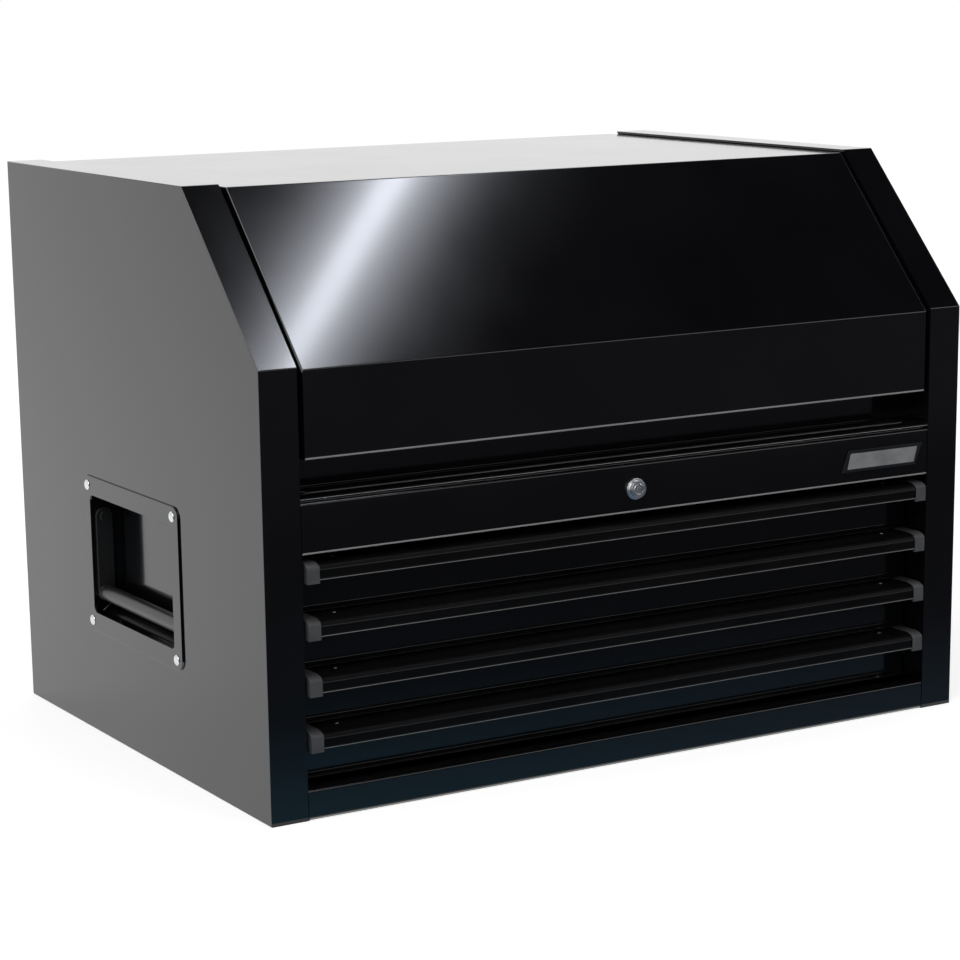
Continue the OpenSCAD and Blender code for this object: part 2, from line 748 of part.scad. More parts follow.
// Bracket under the lid with a notch that the latch slide's finger enters
module lid_catch() {
    foot0 = catch_y0 / cos(lid_a);
    foot1 = catch_y1 / cos(lid_a);
    color(zinc) seated() {
        difference() {
            along_x(catch_x, catch_x + 2) polygon([
                [catch_y0, latch_finger_z - 6], [catch_y1, latch_finger_z - 6],
                [catch_y1, lid_under(catch_y1)], [catch_y0, lid_under(catch_y0)]
            ]);
            slab([catch_x - 1, catch_x + 3], [catch_y0 - 1, latch_y + latch_t + 1.5],
                [latch_finger_z - finger_gap, latch_finger_z + finger_h + finger_gap]);
        }
        along_x(catch_x, catch_x + 18) under_slope()
            polygon([[foot0, -sheet - 2], [foot1, -sheet - 2], [foot1, -sheet], [foot0, -sheet]]);
    }
}

// Rubber buttons on the till front's hem that the slope rests over
module lid_bumpers() {
    y = column_depth + bumper_r + 0.4;
    color(rubber) seated() both_sides() translate([bumper_x, y, till_top])
        cylinder(r = bumper_r, h = lid_under(y - bumper_r) - till_top - 0.4);
}

// ---------------------------------------------------------------- hinge

// Every other knuckle, from the first or the second one
module knuckle_row(first) {
    for (i = [first : 2 : knuckles - 1]) translate([i * knuckle_len - hinge_len / 2, 0, 0])
        children();
}
module hinge_body_leaf() {
    color(zinc) seated() difference() {
        union() {
            slab([-hinge_len / 2, hinge_len / 2], [body_d, body_d + sheet],
                [hinge_z - leaf_w, hinge_z - knuckle_r - 0.3]);
            knuckle_row(0) {
                slab([knuckle_gap, knuckle_len - knuckle_gap], [body_d, body_d + sheet],
                    [hinge_z - knuckle_r - 0.4, hinge_z]);
                translate([0, hinge_y, hinge_z])
                    rod_x(knuckle_r, knuckle_gap, knuckle_len - knuckle_gap);
            }
        }
        translate([0, hinge_y, hinge_z])
            rod_x(hinge_pin_r + run_gap, -hinge_len / 2 - 1, hinge_len / 2 + 1);
    }
}
module hinge_lid_leaf() {
    plate_top = hinge_z + knuckle_r;
    color(zinc) seated() difference() {
        union() {
            slab([-hinge_len / 2, hinge_len / 2], [hinge_y - leaf_w, hinge_y - knuckle_r - 0.3],
                [plate_top - sheet, plate_top]);
            knuckle_row(1) {
                slab([knuckle_gap, knuckle_len - knuckle_gap],
                    [hinge_y - knuckle_r - 0.4, hinge_y], [plate_top - sheet, plate_top]);
                translate([0, hinge_y, hinge_z])
                    rod_x(knuckle_r, knuckle_gap, knuckle_len - knuckle_gap);
            }
        }
        translate([0, hinge_y, hinge_z])
            rod_x(hinge_pin_r + run_gap, -hinge_len / 2 - 1, hinge_len / 2 + 1);
    }
}
module hinge_pin() {
    color(zinc) seated() translate([0, hinge_y, hinge_z])
        rod_x(hinge_pin_r, -hinge_len / 2, hinge_len / 2);
}

// ---------------------------------------------------------------- gas struts

// Strut parts are drawn along +y from the lower stud, then turned to their line
module on_strut() {
    translate([strut_x, strut_foot[0], strut_foot[1]]) rotate([strut_a, 0, 0]) children();
}
module strut_cylinder() {
    color(paint) seated() on_strut() difference() {
        union() {
            rod_x(strut_eye_r, -strut_eye_w / 2, strut_eye_w / 2);
            rod_y(strut_rod_r, 0, 16);
            rod_y(strut_r, 14, strut_cyl_len);
        }
        rod_x(stud_r + run_gap, -strut_eye_w, strut_eye_w);
        rod_y(strut_rod_r + run_gap, 35, strut_cyl_len + 1);
    }
}
module strut_rod() {
    color(chrome) seated() on_strut() {
        rod_y(strut_rod_r, 42, strut_len);
        translate([0, strut_len, 0]) rod_x(strut_eye_r - 0.5, -strut_eye_w / 2, strut_eye_w / 2);
    }
}
module right_strut_cylinder() strut_cylinder();
module left_strut_cylinder() mirror([1, 0, 0]) strut_cylinder();
module right_strut_rod() strut_rod();
module left_strut_rod() mirror([1, 0, 0]) strut_rod();

// Plate and stud inside each side flange of the lid, beside the rod's eye
module strut_upper_studs() {
    flange_x = lid_x - sheet;
    color(zinc) seated() both_sides() translate([0, strut_head[0], strut_head[1]]) {
        slab([flange_x - 2, flange_x], [-12, 12], [-4.5, 8.5]);
        rod_x(stud_r, strut_x + strut_eye_w / 2 + 0.4, flange_x - 1);
    }
}

// ---------------------------------------------------------------- lock

module lock_housing() {
    color(chrome) seated() translate([0, 0, lock_z]) difference() {
        union() {
            rod_y(lock_base_r, -1.6, 0);
            rod_y(lock_ring_r, -5.4, 0);
            rod_y(housing_r, -1, 19);
        }
        rod_y(plug_r + run_gap, -plug_out - 1, 20);
    }
}

// Plug for a tubular key: a round groove with a notch above it
module lock_plug() {
    color(chrome) seated() translate([0, 0, lock_z]) difference() {
        rod_y(plug_r, -plug_out, rod_front);
        difference() {
            rod_y(plug_r - 1.2, -plug_out - 1, 3 - plug_out);
            rod_y(plug_r - 2.2, -plug_out - 1, 3 - plug_out);
        }
        slab([-0.6, 0.6], [-plug_out - 1, 3 - plug_out], [plug_r - 2, plug_r + 1]);
    }
}
module lock_nut() {
    color(zinc) seated() translate([0, 0, lock_z]) difference() {
        rotate([-90, 0, 0]) translate([0, 0, sheet]) cylinder(r = housing_r * 1.5, h = 4, $fn = 6);
        rod_y(housing_r + run_gap, 0, 7);
    }
}

// Crank with its pin at angle a from +x; y0 is the arm's front, the pin runs from p0 to p1
module crank(a, y0, p0, p1) {
    rotate([0, -a, 0]) {
        slab([0, crank_r], [y0, y0 + crank_t], [-3, 3]);
        translate([crank_r, 0, 0]) {
            rod_y(3, y0, y0 + crank_t);
            rod_y(crank_pin_r, p0, p1);
        }
    }
}

// Rod from the plug to the back with a crank for the lid's latch and one for the drawers' bar
module lock_rod() {
    color(zinc) seated() translate([0, 0, lock_z]) {
        rod_y(lock_rod_r, rod_front, rod_rear);
        crank(135, latch_y + latch_t + 1.5, latch_y - 1, latch_y + latch_t + 2);
        crank(225, rod_rear - crank_t, rod_rear - 1, bar_y + bar_t + 1.5);
    }
}

// Upright bar at the back; its fingers rise into the drawers' hooks
module drawer_lock_bar() {
    slot_z = lock_z - crank_x;
    color(zinc) seated() along_y(bar_y, bar_y + bar_t) difference() {
        union() {
            translate([bar_x0, face_z(drawer_count) + finger_z0 - 4])
                square([bar_x1 - bar_x0, slot_z + slot_r + 5 - face_z(drawer_count) - finger_z0 + 4]);
            for (k = [1 : drawer_count]) translate([bar_x1 - 1, face_z(k) + finger_z0])
                square([hook_x + 8 - bar_x1 + 1, finger_z1 - finger_z0]);
        }
        translate([-crank_r - slot_r, slot_z - slot_r])
            square([crank_r - crank_x + 2 * slot_r, 2 * slot_r]);
    }
}

// Slide behind the till front; its finger moves sideways into the lid's catch
module lid_latch_slide() {
    plate_z = floor_top + 5;
    run = lock_travel + latch_stud_r;
    color(zinc) seated() along_y(latch_y, latch_y + latch_t) difference() {
        union() {
            translate([latch_stud_x - run - 8, plate_z]) square([run + 16, latch_z1 - plate_z]);
            translate([-crank_x - slot_r - 4, latch_z0])
                square([2 * slot_r + 8, plate_z - latch_z0 + 1]);
            translate([0, latch_finger_z]) square([catch_x - 2, finger_h]);
        }
        translate([-crank_x - slot_r, latch_z0 - 1])
            square([2 * slot_r, lock_z + crank_r + slot_r - latch_z0 + 1]);
        for (z = latch_stud_z) translate([latch_stud_x, z]) {
            circle(r = latch_stud_r + 0.1);
            translate([-lock_travel, 0]) circle(r = latch_stud_r + 0.1);
            translate([-lock_travel, -latch_stud_r - 0.1])
                square([lock_travel, 2 * latch_stud_r + 0.2]);
        }
    }
}

// Slanted plate on the lock rail, left plain
module badge_plate() {
    x1 = column_x - badge_gap;
    z0 = lock_z - badge_h / 2;
    color(zinc) seated() along_y(-badge_t, 0) polygon([
        [x1 - badge_w, z0], [x1 - badge_slant, z0], [x1, z0 + badge_h],
        [x1 - badge_w + badge_slant, z0 + badge_h]
    ]);
}

// ---------------------------------------------------------------- side handles

// Profiles drawn in (depth into the side, z) run along y
module inset_y(y0, y1) translate([half_w, 0, 0]) mirror([1, 0, 0]) along_y(y0, y1) children();

module rounded_plate(w, h, r) {
    square([w - 2 * r, h], center = true);
    square([w, h - 2 * r], center = true);
    for (x = [r - w / 2, w / 2 - r], y = [r - h / 2, h / 2 - r]) translate([x, y]) circle(r = r);
}
module rivet_places() {
    for (y = [-1, 1], z = [-1, 1]) translate([
        0, handle_y + y * (dish_w / 2 - rivet_in_y), dish_cz + z * (dish_h / 2 - rivet_in_z)
    ]) children();
}

// Pressed dish: a flange on the side panel and a pocket behind it
module handle_dish() {
    color(paint) seated() difference() {
        union() {
            translate([half_w, handle_y, dish_cz]) rotate([90, 0, 90]) linear_extrude(dish_t)
                difference() {
                    rounded_plate(dish_w, dish_h, dish_corner_r);
                    rounded_plate(pocket_w, pocket_h, pocket_r);
                }
            inset_y(dish_y0 - sheet, dish_y1 + sheet) folded(pocket_path, sheet, pocket_r);
            for (y = [dish_y0 - sheet, dish_y1]) inset_y(y, y + sheet)
                polygon(fold_line(pocket_path, sheet, pocket_r, true));
        }
        rivet_places() rod_x(rivet_r, half_w - 1, half_w + 3);
        translate([half_w - bail_in, 0, bail_z])
            rod_y(bail_pin_r, dish_y0 - sheet - 1, dish_y1 + sheet + 1);
    }
}
module right_handle_dish() handle_dish();
module left_handle_dish() mirror([1, 0, 0]) handle_dish();

// Drop bail: two flat arms and a round grip, hanging from its pivots
module handle_bail() {
    arm_r = arm_w / 2;
    color(paint) seated() translate([half_w - bail_in, 0, bail_z]) difference() {
        union() {
            for (y = [dish_y0 + arm_gap, dish_y1 - arm_gap - arm_t]) {
                rod_y(arm_r, y, y + arm_t);
                slab([-arm_r, arm_r], [y, y + arm_t], [-bail_drop, 0]);
                translate([0, 0, -bail_drop]) rod_y(arm_r, y, y + arm_t);
            }
            translate([0, 0, -bail_drop])
                rod_y(grip_r, dish_y0 + arm_gap + arm_t, dish_y1 - arm_gap - arm_t);
        }
        rod_y(bail_pin_r + run_gap, dish_y0, dish_y1);
    }
}
module right_handle_bail() handle_bail();
module left_handle_bail() mirror([1, 0, 0]) handle_bail();

// Headed pin from the pocket's end to just past the arm
module bail_pin() {
    inside = arm_gap + arm_t + 0.2;
    rod_y(bail_pin_r, -sheet, inside);
    rod_y(bail_pin_r + 2, -sheet - 1.6, -sheet);
    rod_y(bail_pin_r + 1.2, inside, inside + 1.4);
}
module bail_pivot_pins() {
    color(zinc) seated() both_sides() translate([half_w - bail_in, 0, bail_z]) {
        translate([0, dish_y0, 0]) bail_pin();
        translate([0, dish_y1, 0]) mirror([0, 1, 0]) bail_pin();
    }
}

// Domed rivets through the dish's flange and the side panel, each turned from one profile
module handle_rivets() {
    grip = sheet + dish_t;
    dome = [for (a = [0 : 15 : 90]) [rivet_head_r * cos(a), grip + rivet_head_h * sin(a)]];
    color(chrome) seated() both_sides() rivet_places() translate([inner_w, 0, 0])
        rotate([0, 90, 0]) rotate_extrude() polygon(concat(
            [[0, -1], [rivet_r + 1.2, -1], [rivet_r + 1.2, 0], [rivet_r, 0], [rivet_r, grip]], dome
        ));
}

left_side_panel();
right_side_panel();
back_panel();
bottom_panel();
lock_rail();
till_floor();
till_front();
till_mat();
left_slide_upright();
right_slide_upright();
slide_outer_members();
hinge_body_leaf();
hinge_pin();
badge_plate();
lock_housing();
lock_nut();
lock_plug();
lock_rod();
drawer_lock_bar();
lid_latch_slide();
left_handle_dish();
right_handle_dish();
left_handle_bail();
right_handle_bail();
bail_pivot_pins();
handle_rivets();
lid_shell();
lid_stiffener();
lid_catch();
lid_bumpers();
hinge_lid_leaf();
strut_upper_studs();
left_strut_cylinder();
left_strut_rod();
right_strut_cylinder();
right_strut_rod();
drawer(1);  // drawer_1
drawer(2);  // drawer_2
drawer(3);  // drawer_3
drawer(4);  // drawer_4
pull(1);  // pull_1
pull(2);  // pull_2
pull(3);  // pull_3
pull(4);  // pull_4
pull_caps(1);  // pull_caps_1
pull_caps(2);  // pull_caps_2
pull_caps(3);  // pull_caps_3
pull_caps(4);  // pull_caps_4
drawer_mat(1);  // drawer_mat_1
drawer_mat(2);  // drawer_mat_2
drawer_mat(3);  // drawer_mat_3
drawer_mat(4);  // drawer_mat_4
slide_inner(1);  // slide_inner_1
slide_inner(2);  // slide_inner_2
slide_inner(3);  // slide_inner_3
slide_inner(4);  // slide_inner_4
slide_middle(1);  // slide_middle_1
slide_middle(2);  // slide_middle_2
slide_middle(3);  // slide_middle_3
slide_middle(4);  // slide_middle_4
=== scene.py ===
"""Machinist tool chest: materials, small details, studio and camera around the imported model."""

import json
import math

import bmesh
import bpy
from mathutils import Matrix, Vector


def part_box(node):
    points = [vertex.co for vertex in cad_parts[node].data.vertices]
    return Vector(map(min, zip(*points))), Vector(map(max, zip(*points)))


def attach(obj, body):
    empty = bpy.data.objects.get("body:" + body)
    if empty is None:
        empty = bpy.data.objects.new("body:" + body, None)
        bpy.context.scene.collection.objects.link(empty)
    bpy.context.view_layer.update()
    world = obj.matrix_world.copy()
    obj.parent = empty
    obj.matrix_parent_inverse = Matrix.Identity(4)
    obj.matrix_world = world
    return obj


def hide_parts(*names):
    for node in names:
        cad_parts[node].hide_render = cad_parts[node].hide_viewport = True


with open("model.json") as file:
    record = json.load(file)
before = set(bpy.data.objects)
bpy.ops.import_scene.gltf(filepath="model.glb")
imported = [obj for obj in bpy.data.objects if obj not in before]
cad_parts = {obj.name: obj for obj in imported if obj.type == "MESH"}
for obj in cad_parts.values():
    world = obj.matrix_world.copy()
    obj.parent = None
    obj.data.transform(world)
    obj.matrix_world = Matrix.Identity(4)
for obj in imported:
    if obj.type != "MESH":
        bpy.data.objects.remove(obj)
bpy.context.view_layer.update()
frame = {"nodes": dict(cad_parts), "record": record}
NODES = frame["nodes"]
BODIES = frame["record"]["behaviour"]["bodies"]
BODY_OF = {node: body for body, members in BODIES.items() for node in members}
DRAWER_NUMBERS = (1, 2, 3, 4)
MM = 0.001


# ------------------------------------------------------------------ shader nodes

def nodes_of(mat):
    """The node tree of a fresh material, with its Principled shader."""
    mat.use_nodes = True
    tree = mat.node_tree
    return tree, tree.nodes["Principled BSDF"]


def noise(tree, scale, detail, rough, stretch=(1, 1, 1)):
    """Noise in object space; every mesh is in the model's metres, so scale is per metre."""
    coord = tree.nodes.new("ShaderNodeTexCoord")
    space = tree.nodes.new("ShaderNodeMapping")
    space.inputs["Scale"].default_value = stretch
    tex = tree.nodes.new("ShaderNodeTexNoise")
    tex.inputs["Scale"].default_value = scale
    tex.inputs["Detail"].default_value = detail
    tex.inputs["Roughness"].default_value = rough
    tree.links.new(coord.outputs["Object"], space.inputs["Vector"])
    tree.links.new(space.outputs["Vector"], tex.inputs["Vector"])
    return tex.outputs["Fac"]


def split_xyz(tree, vector):
    """The x, y and z sockets of a vector."""
    node = tree.nodes.new("ShaderNodeSeparateXYZ")
    tree.links.new(vector, node.inputs[0])
    return node.outputs


def ramp(tree, fac, stops):
    """Colour ramp over fac; stops are (position, (r, g, b))."""
    node = tree.nodes.new("ShaderNodeValToRGB")
    while len(node.color_ramp.elements) < len(stops):
        node.color_ramp.elements.new(1.0)
    for element, (position, rgb) in zip(node.color_ramp.elements, stops):
        element.position = position
        element.color = (*rgb, 1)
    tree.links.new(fac, node.inputs["Fac"])
    return node.outputs["Color"]


def remap(tree, fac, lo, hi, a, b):
    """fac from a..b to lo..hi."""
    node = tree.nodes.new("ShaderNodeMapRange")
    for key, value in (("From Min", a), ("From Max", b), ("To Min", lo), ("To Max", hi)):
        node.inputs[key].default_value = value
    tree.links.new(fac, node.inputs["Value"])
    return node.outputs["Result"]


def blend(tree, fac, first, second):
    """The first colour where fac is 0, the second where it is 1."""
    node = tree.nodes.new("ShaderNodeMix")
    node.data_type = "RGBA"
    for key, socket in (("Factor", fac), ("A", first), ("B", second)):
        tree.links.new(socket, node.inputs[key])
    return node.outputs["Result"]


def bump(tree, height, strength, distance):
    """The normal that height lifts by at most distance (m)."""
    node = tree.nodes.new("ShaderNodeBump")
    node.inputs["Strength"].default_value = strength
    node.inputs["Distance"].default_value = distance
    tree.links.new(height, node.inputs["Height"])
    return node.outputs["Normal"]


def maths(tree, operation, a, b=None):
    """One Math node; a and b are sockets or numbers."""
    node = tree.nodes.new("ShaderNodeMath")
    node.operation = operation
    for socket, value in zip(node.inputs, (a, b)):
        if isinstance(value, (int, float)):
            socket.default_value = value
        elif value is not None:
            tree.links.new(value, socket)
    return node.outputs[0]


# ------------------------------------------------------------------ materials

BLACK, WHITE = (0, 0, 0), (1, 1, 1)
# Where the painted highlight lies on the lower bends, by the normal's tilt from straight down (0)
# to level (1)
LOW_BENDS = [(0.02, BLACK), (0.06, WHITE), (0.8, WHITE), (0.94, BLACK)]
# Where the painted highlight lies on the side bends, by how far the normal turns sideways
SIDE_BENDS = [(0.2, BLACK), (0.4, WHITE), (0.8, WHITE), (0.93, BLACK)]
# How strong the painted highlight is on a slope's side bends, against 1 on the lower bends
SLANT_SHARE = 0.55
# The lower bends fade over this span of the normal's sideways part, and of the piece's height
ENDS, HEIGHTS = (0.2, 0.5), (0.3, 0.5)
# The side bends fade in over this span of the normal's upward part, and of its forward part
SLOPING = (0.12, 0.25)


def painted_edge_highlight(tree, upper):
    """Where the painted highlight goes: 1 on the sheet's lower bends, SLANT_SHARE on a slope's
    side bends, 0 on the flat faces.

    upper is what is left of it in the upper half of the piece.
    """
    coord = tree.nodes.new("ShaderNodeTexCoord")
    normal = split_xyz(tree, coord.outputs["Normal"])
    side = maths(tree, "ABSOLUTE", normal["X"])
    low = ramp(tree, remap(tree, normal["Z"], 0, 1, -1, 0), LOW_BENDS)
    low = maths(tree, "MULTIPLY", low, remap(tree, side, 1, 0, *ENDS))
    if upper < 1:
        place = split_xyz(tree, coord.outputs["Generated"])
        low = maths(tree, "MULTIPLY", low, remap(tree, place["Z"], 1, upper, *HEIGHTS))
    slant = ramp(tree, side, SIDE_BENDS)
    facing_up = remap(tree, normal["Z"], 0, SLANT_SHARE, *SLOPING)
    facing_forward = remap(tree, normal["Y"], 1, 0, -SLOPING[1], -SLOPING[0])
    slant = maths(tree, "MULTIPLY", slant, facing_up)
    slant = maths(tree, "MULTIPLY", slant, facing_forward)
    return maths(tree, "MAXIMUM", low, slant)


# Detail and roughness of the broad patches and of the fine grain, and their shares of the drift
PATCH_NOISE, PATCH_SHARE = (5.0, 0.6), 0.75
GRAIN_NOISE, GRAIN_SHARE = (3.0, 0.55), 0.25
# The span of the noise that the colours and the roughness run over
DRIFT = (0.35, 0.65)
# The darker end of the painted highlight's tone, against its lighter end
PAINTED_HIGHLIGHT_DARK = 0.8


def surface(name, dark, light, rough, metallic=0.0, grain=900.0, grain_mm=0.01,
            stretch=(1, 1, 1), patch=9.0, coat=0.0, coat_rough=0.1, specular=0.5,
            strength=0.3, painted_highlight=None, painted_highlight_upper=1.0):
    """One finish: colour and roughness drift in patches, and a fine grain lifts the surface.

    dark and light are the ends of the colour's drift, and rough holds those of the roughness.
    grain and patch are noise scales per metre, and grain_mm is the grain's height.
    The grey of the painted highlight on the lower and sloping bends, and what is left of it
    higher up, are the last two arguments.
    """
    mat = bpy.data.materials.new(name)
    tree, shader = nodes_of(mat)
    broad = noise(tree, patch, *PATCH_NOISE)
    fine = noise(tree, grain, *GRAIN_NOISE, stretch)
    drift = maths(tree, "ADD", maths(tree, "MULTIPLY", broad, PATCH_SHARE),
                  maths(tree, "MULTIPLY", fine, GRAIN_SHARE))
    colour = ramp(tree, drift, list(zip(DRIFT, (dark, light))))
    # Painted highlight: a lighter grey on the lower and sloping bends, in place of the light they
    # would catch
    if painted_highlight:
        tones = ((PAINTED_HIGHLIGHT_DARK * painted_highlight,) * 3, (painted_highlight,) * 3)
        colour = blend(tree, painted_edge_highlight(tree, painted_highlight_upper), colour,
                       ramp(tree, drift, list(zip(DRIFT, tones))))
    tree.links.new(colour, shader.inputs["Base Color"])
    tree.links.new(remap(tree, drift, *rough, *DRIFT), shader.inputs["Roughness"])
    tree.links.new(bump(tree, fine, strength, grain_mm * MM), shader.inputs["Normal"])
    shader.inputs["Metallic"].default_value = metallic
    shader.inputs["Specular IOR Level"].default_value = specular
    shader.inputs["Coat Weight"].default_value = coat
    shader.inputs["Coat Roughness"].default_value = coat_rough
    return mat


def paint(name, painted_highlight):
    """The chest's black gloss coat, with a grey painted highlight on its lower and sloping bends.
    """
    return surface(name, (0.0016, 0.0016, 0.002), (0.0028, 0.0028, 0.0034), (0.1, 0.14),
                   strength=0.25, coat=0.46, coat_rough=0.07, specular=0.22, painted_highlight=painted_highlight)


# One coat in three copies, whose painted highlight on the bends has three strengths
PAINT = paint("black_gloss_coat_painted_highlight", 0.29)
LEDGE = paint("ledge_coat_strong_painted_highlight", 0.66)
FACE = paint("drawer_coat_faint_painted_highlight", 0.05)
# Satin black, with a faint painted highlight on the lower bends that is weaker in the upper half
PULL = surface("pull_satin_black", (0.002, 0.002, 0.0022), (0.004, 0.004, 0.0044),
               (0.34, 0.44), grain=700, grain_mm=0.02, stretch=(0.02, 1, 1), specular=0.08,
               painted_highlight=0.2, painted_highlight_upper=0.2)
BAIL = surface("bail_satin_coat", (0.008, 0.008, 0.0085), (0.014, 0.014, 0.0145),
               (0.3, 0.42), grain=1100, grain_mm=0.015, specular=0.55, coat=0.1,
               coat_rough=0.2)
CAP = surface("cap_grey_plastic", (0.042, 0.042, 0.045), (0.06, 0.06, 0.063), (0.5, 0.62),
              grain=2600, grain_mm=0.05, patch=60, specular=0.4)
ZINC = surface("zinc_plate", (0.42, 0.43, 0.45), (0.6, 0.61, 0.62), (0.24, 0.42),
               metallic=1.0, grain=500, grain_mm=0.02, patch=22)
CHROME = surface("chrome_plate", (0.62, 0.63, 0.65), (0.72, 0.73, 0.74), (0.1, 0.2),
                 metallic=1.0, grain=1500, patch=80, strength=0.15)
NICKEL = surface("lock_nickel", (0.78, 0.78, 0.79), (0.9, 0.9, 0.91), (0.28, 0.4),
                 metallic=1.0, grain=1500, patch=80, strength=0.15)
RUBBER = surface("mat_rubber", (0.012, 0.012, 0.012), (0.02, 0.02, 0.02), (0.62, 0.8),
                 grain=1800, grain_mm=0.08)
BADGE_RIM = surface("badge_rim", (0.006, 0.007, 0.009), (0.009, 0.01, 0.013), (0.3, 0.42),
                    specular=0.3)
BADGE_FIELD = surface("badge_field", (0.27, 0.28, 0.28), (0.42, 0.43, 0.43), (0.3, 0.45),
                      metallic=0.6, grain=2200, grain_mm=0.02, stretch=(0.05, 1, 1), patch=40)


def finish_of(node):
    """The finish and edge radius (mm) that a CAD node gets."""
    if node.startswith("pull_caps"):
        return CAP, 0.35
    if node.startswith("pull_"):
        return PULL, 0.25
    if node == "lid_bumpers":
        return RUBBER, 0.3
    if node in ("lock_housing", "lock_plug"):
        return NICKEL, 0.25
    if node in ("handle_rivets", "left_strut_rod", "right_strut_rod"):
        return CHROME, 0.25
    if node in ("till_floor", "till_front"):
        return LEDGE, 0.3
    if node in [f"drawer_{k}" for k in DRAWER_NUMBERS]:
        return FACE, 0.25
    if node == "lid_shell":
        return PAINT, 0.5
    if node.endswith("side_panel"):
        # Its outer edge is rounded in the mesh
        return PAINT, 0
    if node.endswith("bail") or node == "bail_pivot_pins":
        return BAIL, 0.2
    if node == "badge_plate":
        return BADGE_RIM, 0.25
    if node.startswith(("slide_", "hinge_")):
        return ZINC, 0.15
    if node in ("lock_nut", "lock_rod", "drawer_lock_bar", "lid_latch_slide", "lid_catch",
                "strut_upper_studs"):
        return ZINC, 0.2
    return PAINT, 0.3


# ------------------------------------------------------------------ meshes

# Vertices this near to each other (m) are one
WELD = 1e-6
# Neighbouring faces within this angle are one
FLAT = math.radians(0.3)
# Edges from this angle on are sharp, and rounded in this many steps
SHARP = math.radians(34)
EDGE_STEPS = 2
# Edges at less than this angle (radians) double back
NO_ANGLE = 0.001
# The rounding (mm) of a side panel's outline, and its steps
OUTLINE_RADIUS = 0.6
OUTLINE_STEPS = 3
# The outline's corners turn by more than this angle (radians)
OUTLINE_TURN = 1
# How near to the panel's outer face the outline lies (m)
ON_FACE = 1e-5
# The handle's cut-out stays this near to the middle in Y (m)
CUT_OUT_REACH = 0.1


def to_object(name, bm):
    """A new object in the scene with a bmesh's faces."""
    mesh = bpy.data.meshes.new(name)
    bm.to_mesh(mesh)
    bm.free()
    obj = bpy.data.objects.new(name, mesh)
    bpy.context.scene.collection.objects.link(obj)
    return obj


def piece(name, bm, mat, body):
    """A new object from a bmesh, riding on a body."""
    obj = to_object(name, bm)
    obj.data.materials.append(mat)
    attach(obj, body)
    return obj


def smooth(obj, edge_mm=0.0):
    """Rounds the sharp edges and shades the rest smooth, with the flat faces kept flat."""
    bm = bmesh.new()
    bm.from_mesh(obj.data)
    for face in bm.faces:
        face.smooth = True
    for edge in bm.edges:
        edge.smooth = len(edge.link_faces) == 2 and edge.calc_face_angle() < SHARP
    bm.to_mesh(obj.data)
    bm.free()
    if edge_mm:
        bevel = obj.modifiers.new("edges", "BEVEL")
        bevel.width = edge_mm * MM
        bevel.segments = EDGE_STEPS
        bevel.limit_method = "ANGLE"
        bevel.angle_limit = SHARP
        bevel.use_clamp_overlap = False
    weighted = obj.modifiers.new("flat_faces", "WEIGHTED_NORMAL")
    weighted.mode = "FACE_AREA"
    weighted.weight = 90
    weighted.thresh = 0.01
    weighted.keep_sharp = True
    return obj


def doubles_back(vert):
    """Whether an outline turns back on itself at this vertex, as a spur without width."""
    if len(vert.link_edges) != 2:
        return False
    ways = [edge.other_vert(vert).co - vert.co for edge in vert.link_edges]
    return min(way.length for way in ways) > WELD and ways[0].angle(ways[1]) < NO_ANGLE


def clean_copy(node):
    """A CAD node's mesh, welded, with its flat faces merged and their spurs taken out."""
    bm = bmesh.new()
    bm.from_mesh(NODES[node].data)
    bmesh.ops.remove_doubles(bm, verts=bm.verts, dist=WELD)
    bmesh.ops.dissolve_limit(bm, angle_limit=FLAT, verts=bm.verts, edges=bm.edges,
                             delimit={"NORMAL"})
    bmesh.ops.dissolve_verts(bm, verts=[v for v in bm.verts if doubles_back(v)])
    return bm


def round_outline(bm):
    """Rounds the outer edge of a side panel all the way round, but not the handle's cut-out."""
    half = max(abs(v.co.x) for v in bm.verts)
    edges = [e for e in bm.edges
             if all(half - abs(v.co.x) < ON_FACE for v in e.verts) and len(e.link_faces) == 2
             and e.calc_face_angle() > OUTLINE_TURN
             and max(abs(v.co.y) for v in e.verts) > CUT_OUT_REACH]
    bmesh.ops.bevel(bm, geom=edges, offset=OUTLINE_RADIUS * MM, offset_type="OFFSET",
                    segments=OUTLINE_STEPS, profile=0.5, affect="EDGES", clamp_overlap=False)


def dress(node):
    """Stands a clean copy with rounded edges in for a CAD node of the same shape."""
    mat, edge = finish_of(node)
    bm = clean_copy(node)
    if node.endswith("side_panel"):
        round_outline(bm)
    obj = piece(node + ".finish", bm, mat, BODY_OF[node])
    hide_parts(node)
    return smooth(obj, edge)


# The pitch and depth of a mat's ribs (mm), and where a rib's flanks stand, as shares of the pitch
RIB_PITCH = 5.0
RIB_DEPTH = 0.5
RISE_FROM, RISE_TO, FALL_FROM, FALL_TO = 0.2, 0.3, 0.7, 0.8


